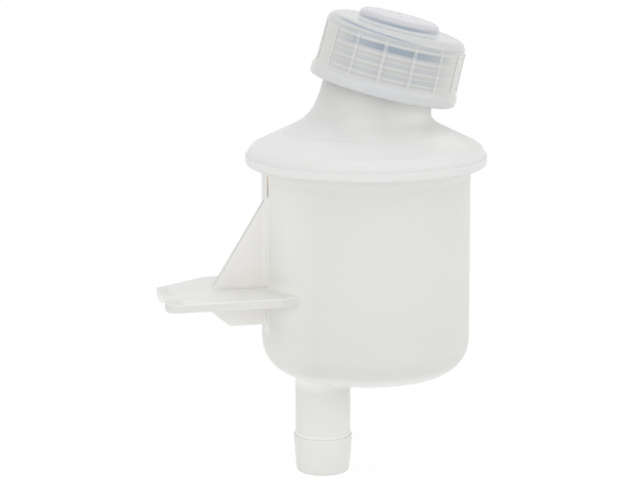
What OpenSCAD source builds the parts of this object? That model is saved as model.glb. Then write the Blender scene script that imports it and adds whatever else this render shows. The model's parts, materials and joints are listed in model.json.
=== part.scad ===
// Brake fluid reservoir: a moulded cup with a side bracket and a hose nozzle, a domed
// upper shell with a leaning threaded neck, and a ribbed screw cap with its inner parts.
// The origin is the centre of the outlet's mouth. The bracket points along -X.

/* [Cup] */
// Outside diameter of the cup
cup_d = 70; // [64:0.5:74]
// Depth of the cup below the weld plane
cup_depth = 74.4; // [66:0.2:90]
// Radius of the cup's outer bottom corner
cup_corner = 12; // [6:0.5:14]
// Thickness of the cup's wall and floor
wall = 2; // [1.6:0.1:2.6]
// Diameter of the cup's weld flange
flange_d = 81; // [79:0.5:90]
// Thickness of the cup's weld flange
flange_t = 3.4; // [2.5:0.1:5]
// Rounding of the flange's lower edge
flange_round = 1.6; // [0.8:0.1:1.6]

/* [Hose nozzle] */
// Distance from the cup's axis to the nozzle's axis
nozzle_offset = 15; // [10:0.2:16]
// Outside diameter of the nozzle's straight stretch
nozzle_d = 18.6; // [16:0.1:19]
// Length of the straight stretch below the cup
nozzle_run = 21.1; // [16:0.1:30]
// Largest diameter of the barb
barb_d = 19.9; // [19.2:0.1:21]
// Length of the barb
barb_len = 12.5; // [9:0.1:16]
// Diameter of the barb at its lower end
barb_tip_d = 17.8; // [16:0.1:18]
// Rounding of the nozzle's lower rim
tip_round = 0.8; // [0.4:0.1:1]
// Bore of the outlet
outlet_d = 12.4; // [10:0.2:13]

/* [Bracket] */
// Depth of the bracket plate's upper face below the weld plane
plate_drop = 43.3; // [38:0.1:50]
// Thickness of the bracket plate
plate_t = 2.8; // [2:0.1:4]
// Width of the bracket plate
plate_w = 42; // [36:0.5:48]
// Distance from the cup's axis to the plate's tip, along its middle
plate_reach = 71.1; // [68:0.1:80]
// Slant of the plate's tip edge
tip_slant = 4.6; // [3:0.2:12]
// Length of the cut rear corner along the plate
cut_len = 19; // [10:0.5:20]
// Depth of the cut rear corner across the plate
cut_w = 13.5; // [8:0.5:14]
// Radius of the plate's front tip corner
tip_corner = 3; // [1:0.5:4]
// Width of the bolt slot
slot_w = 8.6; // [8.4:0.1:9.4]
// Distance from the cup's axis to the middle of the bolt
slot_at = 64; // [63:0.2:66]
// Distance from the plate's middle to the bolt slot's middle
slot_side = 8.5; // [8:0.1:10]
// Thickness of the gusset and of the lower web
gusset_t = 2.6; // [2:0.1:3]
// Depth of the gusset's top below the weld plane
gusset_drop = 13.4; // [10:0.2:20]
// Distance from the cup's axis to the gusset's foot
gusset_reach = 53.5; // [50:0.5:57]
// Depth of the lower web below the plate
web_h = 9.8; // [6:0.2:12]
// Distance from the cup's axis to the web's lower corner
web_reach = 47.6; // [44:0.2:50]
// Distance from the cup's axis to the web's upper corner
web_top_reach = 59.6; // [54:0.2:61]

/* [Upper shell] */
// Diameter of the upper shell's rim at the weld
rim_d = 80; // [77:0.5:82]
// Radius of the rounded shoulder
shoulder_r = 5; // [4:0.1:6]
// Depth of the shoulder's centre below the weld plane
shoulder_sink = 0.6; // [0:0.1:1.5]
// Slope of the dome
dome_slope = 25.5; // [20:0.5:30]
// Diameter where the throat starts to rise from the dome
throat_base_d = 56; // [52:0.5:60]
// Diameter of the throat below the thread
throat_d = 37.4; // [37.3:0.1:38.6]
// Offset of the throat's centre towards its high side
throat_shift = 1.2; // [0:0.1:1.4]
// Share of the way to the corner at which the high side leaves the dome
high_start = 0.8; // [0.5:0.05:0.9]
// Share of the way to the corner at which the low side leaves the dome
low_start = 0.9; // [0.6:0.05:0.95]
// Share of the way to the corner at which the high side joins the throat
high_end = 0.93; // [0.6:0.01:0.95]
// Share of the way to the corner at which the low side joins the throat
low_end = 0.8; // [0.6:0.05:0.95]

/* [Neck] */
// Lean of the neck from upright
neck_tilt = 14; // [8:0.5:18]
// Direction of the lean, from +X about the cup's axis
neck_turn = -16.5; // [-40:0.5:40]
// Height above the weld plane where the neck's axis crosses the cup's axis
neck_root = 0.9; // [0:0.1:6]
// Distance along the neck's axis to its rim
neck_len = 40.3; // [37:0.1:44]
// Outside diameter of the neck between the threads
neck_d = 36.8; // [36:0.1:36.9]
// Wall of the neck
neck_wall = 2.2; // [1.8:0.1:2.6]
// Pitch of the thread
thread_pitch = 4.2; // [4.2:0.1:4.8]
// Height of the neck's thread
thread_h = 2.2; // [1.6:0.1:2.3]
// Width of a thread at its foot
thread_foot = 2.2; // [1.8:0.1:2.3]
// Width of a thread at its crest
thread_crest = 1; // [0.7:0.1:1.2]
// Turns of thread on the neck
neck_turns = 2.6; // [2:0.1:2.8]
// Distance from the neck's rim down to the top of its thread
thread_drop = 2.4; // [2:0.1:3]

/* [Cap] */
// Height of the cap from its lip to its flat top
cap_h = 21.7; // [20.6:0.1:24]
// Diameter of the cap's lip
lip_d = 49.8; // [49.4:0.1:52]
// Height of the cap's lip
lip_h = 4; // [3:0.1:5]
// Height of the slanted flare from the lip up to the skirt
flare_h = 1.6; // [1:0.1:2.4]
// Diameter of the cap's skirt at the lip
skirt_d = 47.8; // [47:0.1:48.4]
// Diameter of the cap's skirt at the top
skirt_top_d = 47.2; // [46.6:0.1:47.6]
// Rounding of the cap's top edge
cap_round = 3.2; // [1.2:0.1:3.4]
// Thickness of the cap's top
cap_top = 1.6; // [1.4:0.1:2]
// Number of grip ribs
rib_count = 15; // [12:1:24]
// Width of a grip rib
rib_w = 0.9; // [0.8:0.1:1.4]
// Height of a grip rib above the skirt
rib_h = 0.4; // [0.3:0.1:0.9]
// Turn of the ribs about the cap's axis
rib_turn = 23; // [0:1:30]
// Distance from the cap's flat top down to the ribs' upper ends
rib_stop = 3.6; // [3.4:0.1:5]
// Diameter of the boss on the cap
boss_d = 27.2; // [25:0.2:30]
// Height of the boss above the cap's top
boss_h = 3.3; // [3:0.1:5]
// Rounding of the boss's upper edge
boss_round = 1.8; // [1:0.1:2]
// Radius of the hollow fillet around the boss's foot
boss_foot = 1.4; // [0.8:0.1:1.6]
// Wall of the hollow boss
boss_wall = 1.6; // [1.3:0.1:2]
// Diameter of the gate mark in the middle of the boss
gate_d = 3; // [2:0.2:4]
// Depth of the gate mark
gate_depth = 0.3; // [0.2:0.1:0.5]
// Height of the cap's thread
cap_thread_h = 2.1; // [1.6:0.1:2.2]
// Turns of thread in the cap
cap_turns = 2.4; // [2:0.1:2.5]

/* [Seal and vent insert] */
// Thickness of the seal
seal_t = 1.6; // [1.2:0.1:2]
// Width of the seal outside the neck's rim
seal_over = 1.6; // [1:0.1:2]
// Thickness of the insert's plate and collar
insert_t = 1.4; // [1:0.1:1.5]
// Depth of the insert's splash skirt below its plate
splash_h = 7; // [5:0.5:9]
// Diameter of the insert's vent hole
vent_d = 1.6; // [1:0.1:2]

/* [Clearances] */
// Gap between the neck's thread crest and the cap's bore
thread_gap = 0.5; // [0.4:0.05:0.6]
// Gap between the bearing flanks of the two threads
flank_gap = 0.35; // [0.3:0.05:0.4]
// Gap around the vent insert in the cap and in the seal
insert_gap = 0.2; // [0.15:0.05:0.3]
// Gap between the splash skirt and the neck's bore
splash_gap = 1.4; // [1:0.1:2]

/* [Hidden] */
$fn = 64;

cup_r = cup_d / 2;
flange_r = flange_d / 2;
rim_r = rim_d / 2;
cup_inner_r = cup_r - wall;
bore_slack = 1;

nozzle_r = nozzle_d / 2;
barb_r = barb_d / 2;
barb_tip_r = barb_tip_d / 2;
outlet_drop = cup_depth + nozzle_run + barb_len;

plate_low = -plate_drop - plate_t;
plate_root = cup_r - wall / 2;
half_w = plate_w / 2;
cut_start = plate_reach - (half_w - cut_w) * tan(tip_slant) - cut_len;

shoulder_mid = [rim_r - sqrt(pow(shoulder_r, 2) - pow(shoulder_sink, 2)), -shoulder_sink];
shoulder_end = shoulder_mid + shoulder_r * [sin(dome_slope), cos(dome_slope)];
throat_base_r = throat_base_d / 2;
throat_base_z = shoulder_end[1] + (shoulder_end[0] - throat_base_r) * tan(dome_slope);
throat_r = throat_d / 2;
throat_sides = 64;
throat_rings = 18;
// The throat's first ring lies inside the dome's flat top and just above it
throat_start = [-0.25, 0.06];
throat_lead = [0.3, 1.2];
throat_lap = 0.2;
shift_run = 1.2;

neck_r = neck_d / 2;
mouth_r = neck_r - neck_wall;
crest_r = neck_r + thread_h;
cap_bore_r = crest_r + thread_gap;
cap_lip_at = neck_len + seal_t + cap_top - cap_h;
throat_end = cap_lip_at + 0.8;
neck_axis = [sin(neck_tilt), cos(neck_tilt)];
neck_across = [cos(neck_tilt), -sin(neck_tilt)];

thread_sides = 48;
thread_fade = 8;
thread_sink = 0.4;
foot_sink = 0.08;
thread_span = neck_turns * thread_pitch + thread_foot;
neck_thread_at = neck_len - thread_drop - thread_span + thread_foot / 2;
// The cap's thread pulls up on the underside of the neck's thread
flank_run = (thread_foot - thread_crest) / thread_h;
mesh_depth = cap_bore_r - neck_r - cap_thread_h;
flank_step = thread_foot - flank_run * mesh_depth / 2 + flank_gap;
cap_thread_at = neck_thread_at - flank_step;

lip_r = lip_d / 2;
lip_wall = 2;
lip_edge = 1;
skirt_low_z = lip_h;
skirt_r = skirt_d / 2;
// The flare starts inside the lip's rounded edge and ends inside the skirt
flare_low = 0.7 * lip_edge;
flare_lap = 0.5;
flare_out = lip_r - lip_edge * (1 - cos(45)) - skirt_r;
flare_slope = flare_out / (flare_h + lip_edge * (1 - cos(45)));
skirt_top_r = skirt_top_d / 2;
ceiling_z = cap_h - cap_top;
boss_r = boss_d / 2;
boss_inner_r = boss_r - boss_wall;
boss_ceiling_z = cap_h + boss_h - boss_wall;

seal_outer_r = min(neck_r + seal_over, cap_bore_r - insert_gap);
insert_r = mouth_r - insert_gap;
seal_inner_r = insert_r + insert_gap;
collar_r = boss_inner_r - insert_gap;
splash_r = mouth_r - splash_gap;
collar_top_z = boss_ceiling_z - insert_gap;

function blend(a, b, share) = a + (b - a) * share;
function cubic(p, t) =
    pow(1 - t, 3) * p[0] + 3 * t * pow(1 - t, 2) * p[1] + 3 * t * t * (1 - t) * p[2] + pow(t, 3) * p[3];
function meet(p, along_p, q, along_q) = p + along_p * cross(q - p, along_q) / cross(along_p, along_q);

// Places a child that is modelled about the cup's axis, with the weld plane at z = 0
module from_outlet() {
    translate([nozzle_offset, 0, outlet_drop]) children();
}

// Places a child that is modelled about the neck's axis, at a distance along it
module on_neck(distance = 0) {
    translate([0, 0, neck_root]) rotate([0, 0, neck_turn]) rotate([0, neck_tilt, 0])
        translate([0, 0, distance]) children();
}

// Half section of a cup with a rounded bottom corner, open side up at z = 0
module cup_section(r, depth, corner) {
    translate([0, -depth + corner]) square([r, depth - corner]);
    translate([0, -depth]) square([r - corner, corner]);
    translate([r - corner, -depth + corner]) circle(corner);
}

// Half section of a disc with rounded outer edges
module disc_section(r, low_z, high_z, edge) {
    translate([0, low_z]) square([r - edge, high_z - low_z]);
    translate([0, low_z + edge]) square([r, high_z - low_z - 2 * edge]);
    for (z = [low_z + edge, high_z - edge]) translate([r - edge, z]) circle(edge);
}

// A ridge that climbs a cylinder, fading in and out at its ends
module thread_ridge(foot_r, crest_r, turns) {
    outward = sign(crest_r - foot_r);
    steps = round(turns * thread_sides);
    points = [for (i = [0 : steps])
        let (
            fade = min(1, (i + 1) / thread_fade, (steps - i + 1) / thread_fade),
            turn = 360 * i / thread_sides,
            z = thread_pitch * i / thread_sides,
            tip_r = blend(foot_r, crest_r, fade),
            tip_w = blend(thread_foot, thread_crest, fade) / 2,
            root_r = foot_r - outward * thread_sink)
        each [for (p = [[root_r, -thread_foot / 2], [tip_r, -tip_w],
                [tip_r, tip_w], [root_r, thread_foot / 2]])
            [p[0] * cos(turn), p[0] * sin(turn), z + p[1]]]];
    sides = [for (i = [0 : steps - 1], k = [0 : 3])
        let (a = 4 * i + k, b = 4 * i + (k + 1) % 4)
        each [[a, b, a + 4], [b, b + 4, a + 4]]];
    ends = [[3, 2, 1, 0], [for (k = [0 : 3]) 4 * steps + k]];
    faces = concat(sides, ends);
    polyhedron(points, outward > 0 ? faces : [for (f = faces) [for (k = [len(f) - 1 : -1 : 0]) f[k]]]);
}

// Point on one side of the throat at a distance along the neck's axis
function throat_edge(side, inset, distance, shift) =
    [0, neck_root] + (distance - inset) * neck_axis + (side * (throat_r - inset) - shift) * neck_across;

// The four control points of one side of the throat, side -1 being the high one
function throat_side(side, inset) =
    let (
        start = [side * (throat_base_r + throat_start[0]),
            throat_base_z + throat_start[1] - inset / cos(dome_slope)],
        end = throat_edge(side, inset, throat_end - shift_run, throat_shift),
        corner = meet(start, [-side * cos(dome_slope), sin(dome_slope)], end, neck_axis),
        first = side < 0 ? high_start : low_start,
        last = side < 0 ? high_end : low_end)
    [start, blend(start, corner, first), blend(end, corner, last), end];

// One side of the throat, which is centred on the neck's axis again under the cap's lip
function throat_line(side, inset) =
    let (control = throat_side(side, inset))
    concat([control[0] - [side * throat_lead[0], throat_lead[1]]],
        [for (k = [0 : throat_rings]) cubic(control, k / throat_rings)],
        [throat_edge(side, inset, throat_end, 0)]);

// Solid throat that leads from the round dome to the leaning neck
module throat(inset) {
    high = throat_line(-1, inset);
    low = throat_line(1, inset);
    last = len(high) - 1;
    points = [for (k = [0 : last])
        let (mid = (high[k] + low[k]) / 2, half = (low[k] - high[k]) / 2)
        each [for (s = [0 : throat_sides - 1])
            let (turn = 360 * s / throat_sides)
            [mid[0] + half[0] * cos(turn), norm(half) * sin(turn), mid[1] + half[1] * cos(turn)]]];
    sides = [for (k = [0 : last - 1], s = [0 : throat_sides - 1])
        let (a = k * throat_sides + s, b = k * throat_sides + (s + 1) % throat_sides)
        each [[a, a + throat_sides, b], [b, a + throat_sides, b + throat_sides]]];
    ends = [[for (s = [0 : throat_sides - 1]) s],
        [for (s = [throat_sides - 1 : -1 : 0]) last * throat_sides + s]];
    rotate([0, 0, neck_turn]) polyhedron(points, concat(sides, ends));
}

// Outline of the bracket plate, with its tip towards +X and its front side towards +Y
module plate_outline() {
    tip_front = [plate_reach + half_w * tan(tip_slant), half_w];
    tip_rear = [plate_reach - (half_w - cut_w) * tan(tip_slant), cut_w - half_w];
    round_mid = tip_front - [tip_corner * (1 + tan(tip_slant)) + 0.1, tip_corner];
    difference() {
        union() {
            polygon([[plate_root, -half_w], [cut_start, -half_w], tip_rear,
                tip_front - (tip_corner + 0.1) * [tan(tip_slant), 1],
                round_mid, round_mid + [0, tip_corner], [plate_root, half_w]]);
            translate(round_mid) circle(tip_corner);
        }
        translate([slot_at, slot_side]) circle(d = slot_w);
        translate([slot_at, slot_side - slot_w / 2]) square([plate_reach, slot_w]);
    }
}

// Plate, gusset and web of the bracket, which points along -X
module bracket() {
    rotate([0, 0, 180]) {
        translate([0, 0, plate_low]) linear_extrude(plate_t) plate_outline();
        rotate([90, 0, 0]) translate([0, 0, -gusset_t / 2]) linear_extrude(gusset_t) {
            polygon([[plate_root, -gusset_drop], [cup_r, -gusset_drop], [gusset_reach, -plate_drop],
                [gusset_reach, plate_low + plate_t / 2], [plate_root, plate_low + plate_t / 2]]);
            polygon([[plate_root, plate_low + plate_t / 2], [web_top_reach, plate_low + plate_t / 2],
                [web_top_reach, plate_low], [web_reach, plate_low - web_h],
                [plate_root, plate_low - web_h]]);
        }
    }
}

// Hose nozzle with its barb, about its own axis, from inside the cup's floor down
module nozzle() {
    step_z = -cup_depth - nozzle_run;
    end_z = -outlet_drop;
    rotate_extrude() {
        translate([0, step_z - 0.5]) square([nozzle_r, nozzle_run + wall / 2 + 0.5]);
        polygon([[0, step_z], [barb_r, step_z], [barb_tip_r, end_z + tip_round],
            [barb_tip_r - tip_round, end_z], [0, end_z]]);
        translate([barb_tip_r - tip_round, end_z + tip_round]) circle(tip_round);
    }
}

// Half section of the weld flange, rounded below and square at the weld
module flange_section() {
    translate([0, -flange_t]) square([flange_r - flange_round, flange_t]);
    translate([0, flange_round - flange_t]) square([flange_r, flange_t - flange_round]);
    translate([flange_r - flange_round, flange_round - flange_t]) circle(flange_round);
}

module lower_shell() {
    color("whitesmoke", 0.9) from_outlet() difference() {
        union() {
            rotate_extrude() cup_section(cup_r, cup_depth, cup_corner);
            rotate_extrude() flange_section();
            bracket();
            translate([-nozzle_offset, 0, 0]) nozzle();
        }
        translate([0, 0, bore_slack]) rotate_extrude()
            cup_section(cup_inner_r, cup_depth - wall + bore_slack, cup_corner - wall);
        translate([-nozzle_offset, 0, -outlet_drop - bore_slack])
            cylinder(h = outlet_drop - cup_depth + wall + 2 * bore_slack, d = outlet_d);
    }
}

// Half section of the dome between the weld plane and the foot of the throat
module dome_section() {
    intersection() {
        translate(shoulder_mid) circle(shoulder_r);
        square([rim_r, rim_r]);
    }
    polygon([[0, 0], [shoulder_end[0], 0], shoulder_end,
        [throat_base_r, throat_base_z], [0, throat_base_z]]);
}

// Half section of the space under the dome
module dome_space() {
    drop = wall / cos(dome_slope);
    rise = (shoulder_end[0] - cup_inner_r) * tan(dome_slope);
    polygon([[0, -bore_slack], [cup_inner_r, -bore_slack], [cup_inner_r, shoulder_end[1] + rise - drop],
        [throat_base_r, throat_base_z - drop], [0, throat_base_z - drop]]);
}

module upper_shell() {
    color("white", 0.9) from_outlet() difference() {
        union() {
            rotate_extrude() dome_section();
            throat(0);
            on_neck(throat_end - throat_lap)
                cylinder(h = neck_len - throat_end + throat_lap, r = neck_r);
            on_neck(neck_thread_at) thread_ridge(neck_r, crest_r, neck_turns);
        }
        rotate_extrude() dome_space();
        throat(wall);
        on_neck(throat_end - wall - throat_lap)
            cylinder(h = neck_len - throat_end + wall + throat_lap + bore_slack, r = mouth_r);
    }
}

// Half section of the cap's outside, with the skirt standing out by a height
module cap_section(out) {
    low_r = skirt_r + out;
    top_r = skirt_top_r + out;
    polygon([[0, skirt_low_z - 1], [low_r, skirt_low_z - 1], [low_r, skirt_low_z],
        [top_r, cap_h - cap_round], [top_r - cap_round, cap_h], [0, cap_h]]);
    translate([top_r - cap_round, cap_h - cap_round]) circle(cap_round);
}

module grip_ribs() {
    intersection() {
        rotate_extrude() cap_section(rib_h);
        for (k = [0 : rib_count - 1]) rotate([0, 0, rib_turn + 360 * k / rib_count])
            translate([skirt_top_r - wall, -rib_w / 2, skirt_low_z - 0.5])
                cube([lip_r, rib_w, cap_h - rib_stop - skirt_low_z + 0.5]);
    }
}

// Hollow fillet, sunk a little so that it meets the lid and the boss at an angle
module boss_fillet() {
    centre = boss_foot - foot_sink;
    rotate_extrude() translate([boss_r, cap_h]) difference() {
        translate([-boss_wall / 2, -cap_top / 2]) square([centre + boss_wall / 2, centre + cap_top / 2]);
        translate([centre, centre]) circle(boss_foot);
    }
}

module screw_cap() {
    color("aliceblue", 0.85) from_outlet() on_neck(cap_lip_at) {
        difference() {
            union() {
                rotate_extrude() disc_section(lip_r, 0, lip_h, lip_edge);
                translate([0, 0, lip_h - flare_low])
                    cylinder(h = flare_low + flare_h + flare_lap,
                        r1 = skirt_r + flare_slope * (flare_h + flare_low),
                        r2 = skirt_r - flare_slope * flare_lap);
                rotate_extrude() cap_section(0);
                rotate_extrude() disc_section(boss_r, cap_h - 2 * boss_round, cap_h + boss_h, boss_round);
                boss_fillet();
                grip_ribs();
            }
            translate([0, 0, -bore_slack]) cylinder(h = ceiling_z + bore_slack, r = cap_bore_r);
            translate([0, 0, -bore_slack])
                cylinder(h = lip_h - lip_edge + bore_slack, r = lip_r - lip_wall);
            cylinder(h = boss_ceiling_z, r = boss_inner_r);
            translate([0, 0, cap_h + boss_h - gate_depth]) cylinder(h = bore_slack, d = gate_d);
        }
        translate([0, 0, cap_thread_at - cap_lip_at])
            thread_ridge(cap_bore_r, cap_bore_r - cap_thread_h, cap_turns);
    }
}

module cap_seal() {
    color("gainsboro") from_outlet() on_neck(neck_len) difference() {
        cylinder(h = seal_t, r = seal_outer_r);
        translate([0, 0, -bore_slack]) cylinder(h = seal_t + 2 * bore_slack, r = seal_inner_r);
    }
}

// Plate with a collar that centres it in the boss and a skirt that keeps splashes off the vent
module vent_insert() {
    plate_z = ceiling_z - insert_t;
    color("lightsteelblue") from_outlet() on_neck(cap_lip_at) difference() {
        union() {
            translate([0, 0, plate_z]) cylinder(h = insert_t, r = insert_r);
            translate([0, 0, plate_z]) cylinder(h = collar_top_z - plate_z, r = collar_r);
            translate([0, 0, plate_z - splash_h]) cylinder(h = splash_h + insert_t / 2, r = splash_r);
        }
        translate([0, 0, ceiling_z]) cylinder(h = boss_h + cap_top, r = collar_r - insert_t);
        translate([0, 0, plate_z - splash_h - bore_slack])
            cylinder(h = splash_h + bore_slack, r = splash_r - insert_t);
        translate([splash_r / 2, 0, plate_z - bore_slack])
            cylinder(h = insert_t + 2 * bore_slack, d = vent_d);
    }
}

lower_shell();
upper_shell();
screw_cap();
cap_seal();
vent_insert();
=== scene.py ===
import json
import math

import bpy
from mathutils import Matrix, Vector


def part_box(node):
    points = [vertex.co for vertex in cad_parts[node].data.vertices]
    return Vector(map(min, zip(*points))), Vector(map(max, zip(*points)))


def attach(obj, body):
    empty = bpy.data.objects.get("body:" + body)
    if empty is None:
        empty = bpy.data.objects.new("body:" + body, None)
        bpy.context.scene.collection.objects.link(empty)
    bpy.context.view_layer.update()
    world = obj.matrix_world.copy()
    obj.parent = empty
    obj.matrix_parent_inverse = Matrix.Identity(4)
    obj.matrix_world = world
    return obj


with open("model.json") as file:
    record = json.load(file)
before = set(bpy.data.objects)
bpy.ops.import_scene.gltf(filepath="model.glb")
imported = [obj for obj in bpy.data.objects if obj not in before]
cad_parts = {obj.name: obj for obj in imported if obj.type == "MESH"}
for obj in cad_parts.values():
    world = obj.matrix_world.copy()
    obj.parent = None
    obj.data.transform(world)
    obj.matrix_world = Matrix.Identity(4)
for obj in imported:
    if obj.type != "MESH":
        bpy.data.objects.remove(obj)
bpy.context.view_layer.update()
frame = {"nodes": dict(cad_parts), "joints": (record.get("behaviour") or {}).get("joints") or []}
print("frame loaded:", len(frame["nodes"]), "nodes")

capTurn = next(joint for joint in frame["joints"] if joint["name"] == "cap_turn")
neckAxis = Vector(capTurn["axis"]).normalized()
neckRoot = Vector(capTurn["pos_m"])  # where the neck's axis crosses the cup's axis
neckSide = Vector((-neckAxis.y, neckAxis.x, 0)).normalized()  # level, square to the lean
neckFront = neckSide.cross(neckAxis)
cupAxis = Vector((neckRoot.x, neckRoot.y, 0))
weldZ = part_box("upper_shell")[0].z


# Camera

cameraLook = {
    "lens": 151.9, "sensor": 36, "near": 0.05, "far": 30,
    "aim": (0.015, 0, 0.0787),  # point of the cup's axis at half the picture's height
    "azimuth": -16.5,
    "pitch": 10.9,
    "distance": 0.910,
    "yaw": 0.99,  # brings the cup to the right of the picture's middle
}


def makeCamera(look):
    data = bpy.data.cameras.new("camera")
    data.lens = look["lens"]
    data.sensor_width = look["sensor"]
    data.clip_start, data.clip_end = look["near"], look["far"]
    cam = bpy.data.objects.new("camera", data)
    azimuth, pitch = math.radians(look["azimuth"]), math.radians(look["pitch"])
    level = math.cos(pitch)
    back = Vector((math.sin(azimuth) * level, -math.cos(azimuth) * level, math.sin(pitch)))
    cam.location = Vector(look["aim"]) + back * look["distance"]
    cam.rotation_euler = (math.radians(90) - pitch, 0, azimuth + math.radians(look["yaw"]))
    bpy.context.scene.collection.objects.link(cam)
    bpy.context.scene.camera = cam


makeCamera(cameraLook)
print("camera placed")


# Shader tools

class Wire:  # one output socket; maths on it adds Math nodes
    def __init__(self, graph, socket):
        self.graph = graph
        self.socket = socket

    def calc(self, operation, *others, clamp=False):
        values = dict(enumerate((self,) + others))
        return self.graph.add("ShaderNodeMath", {"operation": operation, "use_clamp": clamp}, values)

    def clipped(self):  # held between 0 and 1
        return self.calc("ADD", 0, clamp=True)

    def __add__(self, other):
        return self.calc("ADD", other)

    def __sub__(self, other):
        return self.calc("SUBTRACT", other)

    def __rsub__(self, other):
        return self.graph.add("ShaderNodeMath", {"operation": "SUBTRACT"}, {0: other, 1: self})

    def __mul__(self, other):
        return self.calc("MULTIPLY", other)

    def __truediv__(self, other):
        return self.calc("DIVIDE", other)

    def __pow__(self, other):
        return self.calc("POWER", other)

    __radd__ = __add__
    __rmul__ = __mul__


class Graph:
    def __init__(self, owner):
        owner.use_nodes = True
        self.tree = owner.node_tree
        self.tree.nodes.clear()

    def add(self, kind, settings=None, sockets=None, out=0):
        node = self.tree.nodes.new(kind)
        for name, value in (settings or {}).items():
            setattr(node, name, value)
        for name, value in (sockets or {}).items():
            if isinstance(value, Wire):
                self.tree.links.new(value.socket, node.inputs[name])
            else:
                node.inputs[name].default_value = value
        return Wire(self, node.outputs[out]) if len(node.outputs) else node

    def outputs(self, wire, *names):  # other outputs of the node that a wire comes from
        return [Wire(self, wire.socket.node.outputs[name]) for name in names]

    def place(self):
        return self.add("ShaderNodeTexCoord", out="Object")

    def vector(self, operation, *values):
        out = 1 if operation in ("DOT_PRODUCT", "LENGTH", "DISTANCE") else 0
        return self.add("ShaderNodeVectorMath", {"operation": operation}, dict(enumerate(values)), out)

    def mix(self, share, first, second):
        return self.add("ShaderNodeMix", {"data_type": "RGBA"}, {0: share, 6: first, 7: second}, 2)

    def lay(self, share, under, tone):  # a tone from a look's dictionary over a colour
        return self.mix(share, under, linear(*tone))

    def noise(self, place, scale, detail=2, roughness=0.5):
        return self.add("ShaderNodeTexNoise", {"normalize": True},
                        {"Vector": place, "Scale": scale, "Detail": detail, "Roughness": roughness})

    def band(self, value, low, high, soft):  # 1 between low and high, falling to 0 over soft
        rise = (value - (low - soft)).calc("DIVIDE", soft, clamp=True)
        fall = ((high + soft) - value).calc("DIVIDE", soft, clamp=True)
        return rise * fall

    def bump(self, height, distance):
        return self.add("ShaderNodeBump", None, {"Height": height, "Distance": distance})

    def surface(self, sockets):
        shader = self.add("ShaderNodeBsdfPrincipled", None, sockets)
        self.add("ShaderNodeOutputMaterial", None, {"Surface": shader})

    def seen(self):  # 1 where the camera sees it straight, mirrored or through glass
        camera = self.add("ShaderNodeLightPath", out="Is Camera Ray")
        glossy, clear = self.outputs(camera, "Is Glossy Ray", "Is Transmission Ray")
        return (camera + glossy + clear).calc("MINIMUM", 1)


def linear(*tone):  # a colour as it is read off a picture, 0 to 255, through the sRGB curve
    parts = [value / 255 for value in tone]
    return tuple(p / 12.92 if p <= 0.04045 else ((p + 0.055) / 1.055) ** 2.4 for p in parts) + (1,)


def dress(node, name, paint, look):
    material = bpy.data.materials.new(name)
    paint(Graph(material), look)
    mesh = frame["nodes"][node].data
    mesh.materials.clear()
    mesh.materials.append(material)


# Both shells: moulded polypropylene has soft clouds, flow lines and a fine satin skin

shellLook = {
    "cloudDetail": 3, "flowStretch": (1, 1, 0.12), "flowDetail": 2,
    "skinDetail": 2, "skinRoughness": 0.6,
    "ior": 1.49, "subsurface": 0.3, "depth": 0.002,
}


def grain(g, look):
    place = g.place()
    cloud = g.noise(place, look["cloudScale"], shellLook["cloudDetail"])
    stretched = g.vector("MULTIPLY", place, shellLook["flowStretch"])
    flow = g.noise(stretched, look["flowScale"], shellLook["flowDetail"])
    skin = g.noise(place, look["skinScale"], shellLook["skinDetail"], shellLook["skinRoughness"])
    shade = (cloud - 0.5) * look["cloudDepth"] + (flow - 0.5) * look["flowDepth"]
    rough = look["rough"] + (skin - 0.5) * look["roughDepth"] + (cloud - 0.5) * look["roughDepth"]
    return place, shade, rough, skin


def milky(g, look, colour, shade, rough, skin):
    colour = g.lay(shade.calc("MAXIMUM", 0), colour, look["cloudLight"])
    colour = g.lay((0 - shade).calc("MAXIMUM", 0), colour, look["cloudDark"])
    g.surface({
        "Base Color": colour, "Roughness": rough, "IOR": shellLook["ior"],
        "Subsurface Weight": shellLook["subsurface"], "Subsurface Radius": look["scatter"],
        "Subsurface Scale": shellLook["depth"], "Normal": g.bump(skin, look["bump"])})


# Cup, with its nozzle and bracket. A zone is its low end, its high end and its fade, in metres.

cupLook = {
    "colour": (219, 218, 214), "cloudLight": (236, 236, 234), "cloudDark": (196, 195, 188),
    "cloudScale": 32, "cloudDepth": 0.05, "flowScale": 130, "flowDepth": 0.04,
    "skinScale": 2600, "rough": 0.42, "roughDepth": 0.12, "bump": 0.00004, "scatter": (1, 0.95, 0.85),
    "nozzle": (229, 228, 224), "nozzleZone": (0, 0.036, 0.004),
    "ledgeLight": (253, 252, 249),
    "ledgeLightZone": (0.0127, 0.0134, 0.0002), "ledgeLightShare": 0.4,  # painted light over the barb's ledge, in place of the shade in its crease
    "neckZone": (0.0322, 0.0345, 0.004), "neckShare": 0.6,  # painted light where the nozzle leaves the cup, in place of the shade in that crease
    "low": (215, 214, 210), "lowZone": (0.036, 0.05, 0.02), "lowShare": 0.5,
    # painted light on the cup just under the flange, in place of the flange's shade there
    "weld": (250, 249, 245), "weldFade": 0.0075,
    "flange": (221, 221, 219), "flangeFoot": 0.0034, "flangeTo": 1, "flangeFade": 0.0002,
    # painted light on the cup's left side, beside the bracket
    "leftLightZone": (-0.03, -0.0165, 0.007), "leftLightHeights": (0.036, 0.1, 0.01), "leftLightShare": 0.22,
}

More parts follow.
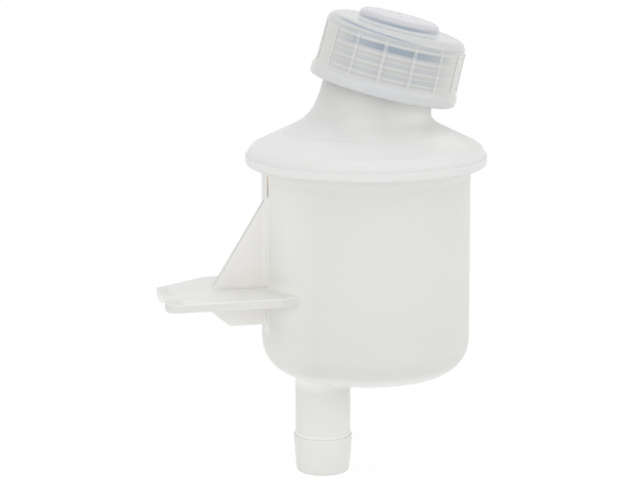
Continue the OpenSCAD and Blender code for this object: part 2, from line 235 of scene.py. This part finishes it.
bracketLook = {
    "cupRadius": 0.035, "start": 0.0003, "heights": (0.03, 0.098, 0.002),
    # gusset and web are painted lighter than the cup, in place of the shade that the flange and the plate put
    # on them
    "gusset": (231, 230, 227), "web": (236, 235, 232), "webZone": (0, 0.062, 0.001),
    "plate": (228, 227, 225), "plateZone": (0.0644, 0.0652, 0.0002),
    "plateTip": (219, 218, 214), "tipZone": (-0.09, -0.053, 0.002),
    "plateRoot": (226, 225, 221), "rootZone": (-0.032, 0, 0.004),
    # painted shade on the plate's front edge, which faces the front lamp
    "plateEdgeShade": (217, 216, 212), "edgeHeights": (0.0617, 0.0643, 0.0001), "edgeZone": (-0.03, -0.012, 0.001),
    "slope": (206, 205, 201), "slopeZone": (-0.00115, 0.00115, 0.0001), "slopeHeights": (0.066, 0.096, 0.001),
    # painted light in the creases where the bracket meets the cup, less on the plate
    "creaseLight": (250, 249, 245), "creaseLightReach": (-1, 0.0004, 0.0012), "creaseLightShare": 0.45,
    "plateHeights": (0.0617, 0.0652, 0.0003), "plateCreaseLightLess": 0.35,
    # where the cup beside the gusset, over the plate and under it gets painted light
    "behindZone": (-0.03, 0, 0.001), "behindHeights": (0.05, 0.094, 0.002),
    "besideGusset": (-0.0026, 0, 0.0024),
    "overPlate": (0.0640, 0.0662, 0.0025), "overWidth": (-0.0185, 0, 0.003), "overShare": 0.5,
    "underPlate": (0.0585, 0.0622, 0.006), "underWidth": (-0.0165, 0, 0.005), "underShare": 0.7,
}

grimeLook = {  # a hair of dirt from the flange to the gusset's top
    "stain": (176, 138, 92), "grime": (96, 88, 82), "grimeZone": (0.0915, 0.0982, 0.001),
    "side": -0.0031, "width": 0.0005, "fade": 0.0003, "heights": (0.0958, 0.1020, 0.0006),
    "front": (-0.03, -0.017, 0.0005), "wanderScale": 700, "wanderDetail": 3, "wander": 0.0016,
    "patchScale": 1500, "patchDetail": 1, "patchLeast": 0.35,
}


def paintBracket(g, look, place, colour):
    x, y, z = axesOf(g, place)
    # the bracket is told from the cup by its distance from the cup's axis
    flat = g.vector("MULTIPLY", g.vector("SUBTRACT", place, tuple(cupAxis)), (1, 1, 0))
    reach = g.vector("LENGTH", flat) - look["cupRadius"]
    arm = (reach / look["start"]).clipped() * g.band(z, *look["heights"])
    # painted light on the gusset and the web
    paint = g.mix(g.band(z, *look["webZone"]), linear(*look["gusset"]), linear(*look["web"]))
    plate = g.mix(g.band(x, *look["tipZone"]), linear(*look["plate"]), linear(*look["plateTip"]))
    plate = g.lay(g.band(x, *look["rootZone"]), plate, look["plateRoot"])
    paint = g.mix(g.band(z, *look["plateZone"]), paint, plate)
    # painted shade on the plate's front edge
    paint = g.lay(g.band(z, *look["edgeHeights"]) * g.band(y, *look["edgeZone"]), paint, look["plateEdgeShade"])
    # painted light along the bracket's root
    creaseLightShare = look["creaseLightShare"] - look["plateCreaseLightLess"] * g.band(z, *look["plateHeights"])
    paint = g.lay(g.band(reach, *look["creaseLightReach"]) * creaseLightShare, paint, look["creaseLight"])
    paint = g.lay(g.band(y, *look["slopeZone"]) * g.band(z, *look["slopeHeights"]), paint, look["slope"])
    colour = g.mix(arm, colour, paint)
    # painted light on the cup beside the gusset, over the plate and under it, for the light that milky
    # plastic lets into these creases
    behind = (1 - arm) * g.band(x, *look["behindZone"])
    over = g.band(z, *look["overPlate"]) * g.band(y, *look["overWidth"]) * look["overShare"]
    under = g.band(z, *look["underPlate"]) * g.band(y, *look["underWidth"]) * look["underShare"]
    creaseLight = behind * (g.band(y, *look["besideGusset"]) + over + under).calc("MINIMUM", 1)
    return g.lay(creaseLight * g.band(z, *look["behindHeights"]) * look["creaseLightShare"], colour, look["creaseLight"])


def paintGrime(g, look, place, colour):
    x, y, z = axesOf(g, place)
    wander = (g.noise(place, look["wanderScale"], look["wanderDetail"]) - 0.5) * look["wander"]
    thread = g.band(y + wander, look["side"] - look["width"], look["side"] + look["width"], look["fade"])
    run = g.band(z, *look["heights"]) * g.band(x, *look["front"])
    tone = g.mix(g.band(z, *look["grimeZone"]), linear(*look["stain"]), linear(*look["grime"]))
    patches = g.noise(place, look["patchScale"], look["patchDetail"])
    patches = look["patchLeast"] + (1 - look["patchLeast"]) * patches
    return g.mix(thread * run * patches, colour, tone)


def axesOf(g, place):
    x = g.add("ShaderNodeSeparateXYZ", None, {0: place}, "X")
    return (x, *g.outputs(x, "Y", "Z"))


def paintCup(g, look):
    place, shade, rough, skin = grain(g, look)
    x, y, z = axesOf(g, place)
    # painted light, strongest right under the flange
    underFlangeLightShare = (1 - (weldZ - z) / look["weldFade"]).clipped()
    # painted light along the barb's ledge and the nozzle's root, lifting the shade in these creases
    ledgeLights = g.band(z, *look["ledgeLightZone"]) * look["ledgeLightShare"]
    ledgeLights = ledgeLights + g.band(z, *look["neckZone"]) * look["neckShare"]
    # painted light on the cup's left side
    leftLight = g.band(x, *look["leftLightZone"]) * g.band(z, *look["leftLightHeights"]) * look["leftLightShare"]
    colour = g.mix(g.band(z, *look["nozzleZone"]), linear(*look["colour"]), linear(*look["nozzle"]))
    colour = g.lay(g.band(z, *look["lowZone"]) * look["lowShare"], colour, look["low"])
    colour = g.lay(underFlangeLightShare, colour, look["weld"])
    colour = g.lay(ledgeLights, colour, look["ledgeLight"])
    onFlange = g.band(z, weldZ - look["flangeFoot"], look["flangeTo"], look["flangeFade"])
    colour = g.lay(onFlange, colour, look["flange"])
    colour = g.lay(leftLight, colour, bracketLook["creaseLight"])
    colour = paintBracket(g, bracketLook, place, colour)
    colour = paintGrime(g, grimeLook, place, colour)
    milky(g, look, colour, shade, rough, skin)


dress("lower_shell", "natural_plastic_cup", paintCup, cupLook)
print("cup dressed")


# Root of the bracket's plate, which fills the wedges between the plate's flat end and the round cup

rootLook = {
    "end": -0.019, "halfWidth": 0.021, "low": 0.0619, "high": 0.0647,  # as the plate in the part
    "bed": 0.034,  # radius of the middle of the cup's wall, where the wedges end
    "bedWidth": 0.0196,  # half the width there
    "start": 0.3,  # the wedges start inside the wall, at this share of the half width
    "steps": 12,
}


def makePlateRoot(look):
    points, faces = [], []
    for hand in (-1, 1):
        first = len(points)
        for k in range(look["steps"] + 1):
            share = hand * (look["start"] + (1 - look["start"]) * k / look["steps"])
            outerSide, side = look["halfWidth"] * share, look["bedWidth"] * share
            inner = cupAxis.x - (look["bed"] ** 2 - side ** 2) ** 0.5
            points += [(look["end"], outerSide, look["low"]), (inner, side, look["low"]),
                       (inner, side, look["high"]), (look["end"], outerSide, look["high"])]
        rings = [[first + 4 * k + m for m in range(4)] for k in range(look["steps"] + 1)]
        if hand > 0:
            rings.reverse()  # keeps the faces outward
        for a, b in zip(rings, rings[1:]):
            faces += [(a[m], a[(m + 1) % 4], b[(m + 1) % 4], b[m]) for m in range(4)]
        faces += [rings[0][::-1], rings[-1]]
    mesh = bpy.data.meshes.new("plate_root")
    mesh.from_pydata(points, [], faces)
    root = bpy.data.objects.new("plate_root", mesh)
    bpy.context.scene.collection.objects.link(root)
    mesh.materials.append(frame["nodes"]["lower_shell"].data.materials[0])
    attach(root, "reservoir")


makePlateRoot(rootLook)
print("plate root made")


# Domed shell

domeLook = {
    "colour": (225, 225, 223), "cloudLight": (240, 240, 240), "cloudDark": (200, 200, 196),
    "cloudScale": 30, "cloudDepth": 0.05, "flowScale": 90, "flowDepth": 0.03,
    "skinScale": 2400, "rough": 0.4, "roughDepth": 0.1, "bump": 0.00004, "scatter": (1, 0.98, 0.95),
    "rim": (220, 220, 218), "rimZone": (-0.001, 0.0025, 0.002),
    "neck": (213, 212, 209), "neckFrom": 0.009, "neckFull": 0.021,  # painted shade on the neck, deepening towards the cap, along the neck's axis
    "weldLineLight": (250, 249, 245), "weldLineLightZone": (-0.001, 0.0002, 0.0002), "weldLineLightShare": 0.5,  # painted light over the crease at the weld
    "shade": (192, 192, 190), "shadeZone": (-0.03, 0, 0.008), "shadeHeights": (0.013, 0.1, 0.006),
    "shadeShare": 0.35,  # left side of the throat
    "hollow": (248, 248, 245), "hollowAt": (0.031, -0.0165, 0.1205), "hollowSize": 0.0165,
    "hollowFade": 0.8, "hollowShare": 0.85,  # painted light under the cap's low side, for light through the milky shell
}


def paintDome(g, look):
    place, shade, rough, skin = grain(g, look)
    x, y, z = axesOf(g, place)
    height = z - weldZ
    along = g.vector("DOT_PRODUCT", g.vector("SUBTRACT", place, tuple(neckRoot)), tuple(neckAxis))
    underCapShadeShare = ((along - look["neckFrom"]) / (look["neckFull"] - look["neckFrom"])).clipped()
    shaded = g.band(x, *look["shadeZone"]) * g.band(height, *look["shadeHeights"]) * look["shadeShare"]
    near = (1 - g.vector("DISTANCE", place, look["hollowAt"]) / look["hollowSize"]).calc("MAXIMUM", 0)
    colour = g.mix(g.band(height, *look["rimZone"]), linear(*look["colour"]), linear(*look["rim"]))
    # painted shade under the cap
    colour = g.lay(underCapShadeShare, colour, look["neck"])
    # painted light over the crease at the weld
    colour = g.lay(g.band(height, *look["weldLineLightZone"]) * look["weldLineLightShare"], colour, look["weldLineLight"])
    colour = g.lay(shaded, colour, look["shade"])
    # painted light under the cap's low side
    colour = g.lay(near ** look["hollowFade"] * look["hollowShare"], colour, look["hollow"])
    milky(g, look, colour, shade, rough, skin)


dress("upper_shell", "natural_plastic_dome", paintDome, domeLook)
print("domed shell dressed")


# Screw cap, in millimetres up from its lip and out from its axis. Turns are degrees about that axis.

perMetre = 1000  # millimetres in a metre
capLook = {
    "lipAt": 21.8, "top": 21.7, "bossRadius": 13.6, "lipHeight": 4,  # as in the part
    "ribStep": 24, "ribTurn": 23, "ribWidth": 0.95, "ribFade": 0.3,
    "frontTurn": -92, "arcTurn": -85, "arcSpan": 45, "facingPower": 1.2,
    "skirt": (204, 204, 202), "skirtRadius": (16, 30, 1),
    "skirtFrom": 1.0, "skirtTo": 3.6, "skirtFade": 1.4,
    "lowRowAt": 11.3, "pitch": 3.75,  # soft rows of the thread
    "brown": (190, 190, 187), "brownRow": (0.34, 0.56, 0.1), "brownDepth": 0.8,
    "cream": (207, 206, 203), "creamRow": (0.66, 0.72, 0.08), "creamDepth": 0.7,
    "blue": (150, 161, 172), "notBlueRow": (0.25, 0.75, 0.09), "blueDepth": 0.30,
    "rowAt": 16.1, "rowHalf": 0.85, "rowFade": 0.4, "rowDepth": 0.95,  # dark row at the top
    "rowLeft": (0.95, 2.5, 0.12), "rowLeftLight": 0.6,
    "shoulderFrom": 3.0, "shoulderTo": 2.5, "shoulderFade": 0.5,
    "shoulderLeast": 0.1, "shoulderMore": 0.25,
    "lid": (202, 202, 201), "lidFrom": 1.9, "lidFade": 0.8,
    "arc": (158, 168, 184), "arcSlope": 0.8, "arcFrom": 2.0, "arcTo": 1.75, "arcFade": 0.35,
    "arcWidth": (0.1, 1.15, 0.5), "arcRadius": (20.8, 26, 0.3), "arcDepth": 0.9,
    "side": (208, 207, 203), "boreFrom": 0.50, "boreFade": 0.30, "sideDepth": 0.9,
    "rib": (214, 214, 212), "ribLeast": 0.1, "ribMore": 0.25, "ribRadius": (21, 30, 0.3),
    "ribFrom": 0.8, "ribTo": 3.2, "ribEnd": 0.8,
    "ribFootLight": (226, 226, 224), "footIn": 0.06, "footOut": 0.1, "footFade": 0.12,
    "footMost": 0.55, "footLess": 0.15,
    "lip": (206, 207, 208), "lipSide": (211, 210, 206),
    "lipFrom": -1, "lipBelow": 0.6, "lipFade": 2.4, "lipLeast": 0.55,
    "boss": (202, 202, 205), "bossFrom": -1, "bossFade": 0.1, "bossOver": 0.05, "bossTo": 40,
    "gate": (228, 228, 231), "gateZone": (-1, 1.7, 0.3),
    "wallIn": 1.2, "wallTo": 20, "wallFade": 0.6,
    "collar": (165, 175, 191), "collarFrom": 0.95, "collarTo": 1.45, "collarFade": 0.55,
    "collarDepth": 0.95, "collarLeast": 0.1,
    "foot": (212, 213, 214), "footFrom": -0.1, "footTo": 0.4, "footSoft": 0.4,
    "footWidth": 1.2, "footSpread": 0.9,
    "haze": (190, 194, 200), "hazeScale": 120, "hazeDetail": 3, "hazeDepth": 0.16, "hazeShare": 0.02,
    "rough": 0.22, "roughDepth": 0.1, "bump": 0.00003,
    "skinScale": 2200, "skinDetail": 2, "skinRoughness": 0.6,
    "ior": 1.49, "subsurface": 0.5, "scatter": (1, 1, 1), "depth": 0.0008,
}


def paintCap(g, look):
    place = g.place()
    away = g.vector("SUBTRACT", place, tuple(neckRoot))
    height = g.vector("DOT_PRODUCT", away, tuple(neckAxis)) * perMetre - look["lipAt"]
    across = g.vector("DOT_PRODUCT", away, tuple(neckFront)) * perMetre
    aside = g.vector("DOT_PRODUCT", away, tuple(neckSide)) * perMetre
    radius = (across * across + aside * aside) ** 0.5
    turn = aside.calc("ARCTAN2", across) / (2 * math.pi)
    front = math.radians(look["frontTurn"])
    # 1 at the front and the back, where the thread rows show best, and 0 at the sides
    facing = ((across * math.cos(front) + aside * math.sin(front)) / radius).calc("ABSOLUTE")
    middle = facing ** look["facingPower"]
    # 1 at one arcSpan to the left of arcTurn
    leftward = (look["arcTurn"] / 360 - turn) * (360 / look["arcSpan"])
    top, lipHeight = look["top"], look["lipHeight"]

    # level rows that stand for the thread behind the skirt, at the pitch that the photo shows
    skirtFrom, skirtTo = lipHeight + look["skirtFrom"], top - look["skirtTo"]
    skirtZone = g.band(height, skirtFrom, skirtTo, look["skirtFade"])
    skirtZone = skirtZone * g.band(radius, *look["skirtRadius"])
    phase = ((height - look["lowRowAt"]) / look["pitch"]).calc("WRAP", 1, 0)
    blueRow = 1 - g.band(phase, *look["notBlueRow"])
    rowLow, rowHigh = look["rowAt"] - look["rowHalf"], look["rowAt"] + look["rowHalf"]
    topRow = g.band(height, rowLow, rowHigh, look["rowFade"])
    # painted light: the top row is lighter to its left
    topRow = topRow * (1 - g.band(leftward, *look["rowLeft"]) * look["rowLeftLight"])
    brownShare = g.band(phase, *look["brownRow"]) * skirtZone * look["brownDepth"]
    colour = g.mix(brownShare, linear(*look["skirt"]), linear(*look["brown"]))
    colour = g.lay(g.band(phase, *look["creamRow"]) * skirtZone * look["creamDepth"], colour, look["cream"])
    colour = g.lay(blueRow * skirtZone * look["blueDepth"], colour, look["blue"])
    colour = g.lay(topRow * skirtZone * look["rowDepth"] * middle ** 2, colour, look["blue"])

    # grey-blue band and thin dark line where the skirt meets the lid
    shoulder = g.band(height, top - look["shoulderFrom"], top - look["shoulderTo"], look["shoulderFade"])
    colour = g.lay(shoulder * (look["shoulderLeast"] + look["shoulderMore"] * middle), colour, look["blue"])
    lid = ((height - (top - look["lidFrom"])) / look["lidFade"]).clipped()
    colour = g.lay(lid, colour, look["lid"])
    rise = height - leftward * look["arcSlope"]
    arc = g.band(rise, top - look["arcFrom"], top - look["arcTo"], look["arcFade"])
    arc = arc * g.band(leftward, *look["arcWidth"]) * g.band(radius, *look["arcRadius"])
    colour = g.lay(arc * look["arcDepth"], colour, look["arc"])

    # plain skirt at the sides, because the rows lie on the bore, further in
    onBore = ((facing - look["boreFrom"]) / look["boreFade"]).clipped()
    colour = g.lay((1 - onBore) * skirtZone * look["sideDepth"], colour, look["side"])

    # grip ribs, and painted light in the creases at their feet
    cells = ((turn * 360 - look["ribTurn"]) / look["ribStep"] + 0.5).calc("WRAP", 1, 0)
    ribGap = (cells - 0.5).calc("ABSOLUTE") * math.radians(look["ribStep"]) * radius
    ribHalf = look["ribWidth"] / 2
    rib = 1 - ((ribGap - ribHalf) / look["ribFade"]).clipped()
    ribZone = g.band(height, lipHeight + look["ribFrom"], top - look["ribTo"], look["ribEnd"])
    ribZone = ribZone * g.band(radius, *look["ribRadius"])
    colour = g.lay(rib * ribZone * (look["ribLeast"] + look["ribMore"] * middle), colour, look["rib"])
    ribFootLight = g.band(ribGap, ribHalf - look["footIn"], ribHalf + look["footOut"], look["footFade"])
    ribFootLight = ribFootLight * ribZone * (look["footMost"] - look["footLess"] * middle)
    colour = g.lay(ribFootLight, colour, look["ribFootLight"])

    lip = g.band(height, look["lipFrom"], lipHeight - look["lipBelow"], look["lipFade"])
    lip = lip * (look["lipLeast"] + (1 - look["lipLeast"]) * middle)
    colour = g.mix(lip, colour, g.mix(middle, linear(*look["lipSide"]), linear(*look["lip"])))

    # boss, its gate mark, a band for the insert's collar behind its wall, and painted light in the crease at
    # its foot
    bossRadius = look["bossRadius"]
    onBoss = g.band(radius, look["bossFrom"], bossRadius + look["bossFade"], look["bossFade"])
    onBoss = onBoss * g.band(height, top + look["bossOver"], look["bossTo"], look["bossOver"])
    colour = g.lay(onBoss, colour, look["boss"])
    colour = g.lay(g.band(radius, *look["gateZone"]) * onBoss, colour, look["gate"])
    wall = g.band(radius, bossRadius - look["wallIn"], look["wallTo"], look["wallFade"])
    collar = wall * g.band(height, top + look["collarFrom"], top + look["collarTo"], look["collarFade"])
    collarShare = look["collarLeast"] + (1 - look["collarLeast"]) * middle ** 2
    colour = g.lay(collar * look["collarDepth"] * collarShare, colour, look["collar"])
    foot = wall * g.band(height, top + look["footFrom"], top + look["footTo"], look["footSoft"])
    foot = foot * g.band(radius, 0, bossRadius + look["footWidth"], look["footSpread"])
    colour = g.lay(foot, colour, look["foot"])

    haze = g.noise(place, look["hazeScale"], look["hazeDetail"])
    colour = g.lay((haze - 0.5) * look["hazeDepth"] + look["hazeShare"], colour, look["haze"])
    skin = g.noise(place, look["skinScale"], look["skinDetail"], look["skinRoughness"])
    rough = look["rough"] + (skin - 0.5) * look["roughDepth"]
    g.surface({
        "Base Color": colour, "Roughness": rough, "IOR": look["ior"],
        "Subsurface Weight": look["subsurface"], "Subsurface Radius": look["scatter"],
        "Subsurface Scale": look["depth"], "Normal": g.bump(skin, look["bump"])})


dress("screw_cap", "clear_blue_cast_plastic", paintCap, capLook)
print("cap dressed")


# Seal and vent insert, which lie inside the cap

sealLook = {
    "colour": (206, 210, 216), "dust": (186, 190, 196), "dustShare": 0.7, "dustScale": 90, "dustDetail": 2,
    "fineScale": 900, "fineDetail": 4, "fineRoughness": 0.6,
    "rough": 0.62, "roughDepth": 0.2, "ior": 1.5, "bump": 0.00005,
}
insertLook = {
    "colour": (166, 182, 208), "dust": (138, 156, 186), "dustShare": 0.7, "dustScale": 90, "dustDetail": 2,
    "fineScale": 700, "fineDetail": 4, "fineRoughness": 0.6,
    "rough": 0.4, "roughDepth": 0.2, "ior": 1.5, "bump": 0.00004,
}


def paintInner(g, look):
    place = g.place()
    fine = g.noise(place, look["fineScale"], look["fineDetail"], look["fineRoughness"])
    broad = g.noise(place, look["dustScale"], look["dustDetail"])
    colour = g.mix(broad * look["dustShare"] * fine, linear(*look["colour"]), linear(*look["dust"]))
    g.surface({
        "Base Color": colour, "Roughness": look["rough"] + (fine - 0.5) * look["roughDepth"],
        "IOR": look["ior"], "Normal": g.bump(fine, look["bump"])})


dress("cap_seal", "soft_grey_seal", paintInner, sealLook)
dress("vent_insert", "blue_grey_insert", paintInner, insertLook)
print("inner parts dressed")


# Floor, world and lamps

studio = {
    "floorRadius": 8, "floorSides": 64, "floorZ": -0.0003, "floorShade": (0.93, 0.93, 0.93, 1),
    "shadowShare": 0.04,  # share of the object's shadow that the white floor keeps
    "white": (1, 1, 1, 1), "whiteStrength": 1,
    "skyTop": (0.94, 0.95, 0.97, 1), "skySide": (0.96, 0.96, 0.955, 1), "skyStrength": 0.94,
    "lampAim": (0, 0, 0.08),
    "lamps": [
        {"name": "softbox_top", "at": (-0.1, -0.5, 1.6), "size": 1.2, "power": 2.5},
        {"name": "softbox_front", "at": (-0.2, -2.3, 0.5), "size": 1.8, "power": 5.0},
        {"name": "softbox_right", "at": (1.6, -0.9, 0.7), "size": 1.2, "power": 2.7},
        {"name": "softbox_left", "at": (-1.6, -0.9, 0.6), "size": 1.2, "power": 2.7},
    ],
}


def makeFloor(look):
    mesh = bpy.data.meshes.new("floor")
    turns = [2 * math.pi * k / look["floorSides"] for k in range(look["floorSides"])]
    size, z = look["floorRadius"], look["floorZ"]
    rim = [(size * math.cos(a), size * math.sin(a), z) for a in turns]
    mesh.from_pydata(rim, [], [tuple(range(len(rim)))])
    floor = bpy.data.objects.new("floor", mesh)
    bpy.context.scene.collection.objects.link(floor)
    material = bpy.data.materials.new("pale_floor")
    mesh.materials.append(material)
    g = Graph(material)
    lit = g.add("ShaderNodeBsdfDiffuse", None, {"Color": look["floorShade"]})
    white = g.add("ShaderNodeEmission", None, {"Color": look["white"], "Strength": look["whiteStrength"]})
    share = g.seen() * (1 - look["shadowShare"])
    shown = g.add("ShaderNodeMixShader", None, {0: share, 1: lit, 2: white})
    g.add("ShaderNodeOutputMaterial", None, {"Surface": shown})


def makeWorld(look):
    world = bpy.data.worlds.new("studio")
    bpy.context.scene.world = world
    g = Graph(world)
    way = g.add("ShaderNodeTexCoord", out="Generated")
    up = g.vector("DOT_PRODUCT", way, (0, 0, 1)).calc("MAXIMUM", 0)
    sky = g.mix(up, look["skySide"], look["skyTop"])
    tent = g.add("ShaderNodeBackground", None, {"Color": sky, "Strength": look["skyStrength"]})
    white = g.add("ShaderNodeBackground", None, {"Color": look["white"], "Strength": look["whiteStrength"]})
    shown = g.add("ShaderNodeMixShader", None, {0: g.seen(), 1: tent, 2: white})
    g.add("ShaderNodeOutputWorld", None, {"Surface": shown})


def makeLamps(look):
    for lamp in look["lamps"]:
        data = bpy.data.lights.new(lamp["name"], "AREA")
        data.shape = "DISK"
        data.size = lamp["size"]
        data.energy = lamp["power"]
        lampObject = bpy.data.objects.new(lamp["name"], data)
        lampObject.location = lamp["at"]
        aim = Vector(look["lampAim"]) - lampObject.location
        lampObject.rotation_euler = aim.to_track_quat("-Z", "Y").to_euler()
        bpy.context.scene.collection.objects.link(lampObject)


makeFloor(studio)
makeWorld(studio)
makeLamps(studio)
bpy.context.scene.view_settings.view_transform = "Standard"
print("studio ready")
